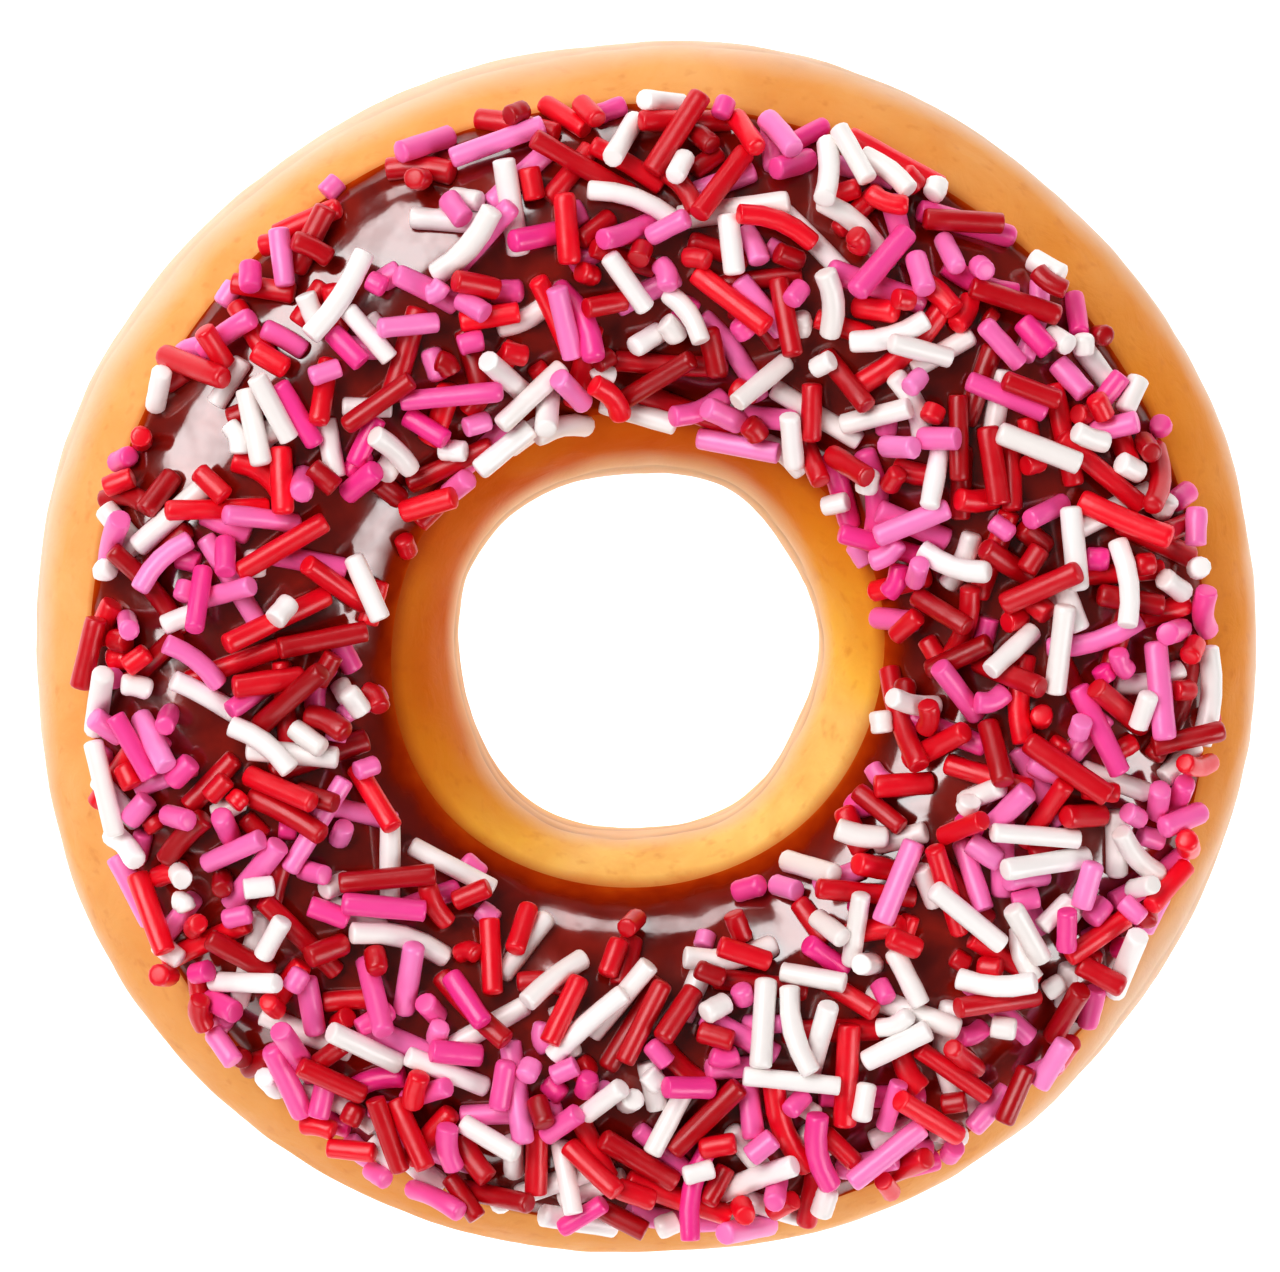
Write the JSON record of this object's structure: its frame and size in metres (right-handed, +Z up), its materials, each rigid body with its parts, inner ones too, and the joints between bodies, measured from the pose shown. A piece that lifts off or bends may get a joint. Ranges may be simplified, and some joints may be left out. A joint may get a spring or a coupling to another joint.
{
  "type": "sprinkle frosted doughnut",
  "caption": "Ring doughnut with a hole through the middle, chocolate icing over its upper side, and short sugar sprinkles in red, pink and white lying all over the icing.",
  "frame": {"origin": "on the surface that the doughnut lies on, under the middle of the ring", "axes": "+Z up through the hole, with the iced side up; +Y towards the top of the picture and +X towards its right"},
  "size_m": [0.0917, 0.0914, 0.0331],
  "materials": {
    "fried_dough": "golden fried crust with a thin, faint gloss",
    "chocolate_icing": "set dark chocolate icing, glossy",
    "sprinkle_red": "coloured sugar, satin",
    "sprinkle_pink": "coloured sugar, satin",
    "sprinkle_white": "white sugar, satin"
  },
  "bodies": {
    "root": {"dough_ring": "fried_dough", "chocolate_icing": "chocolate_icing"}
  },
  "joints": []
}
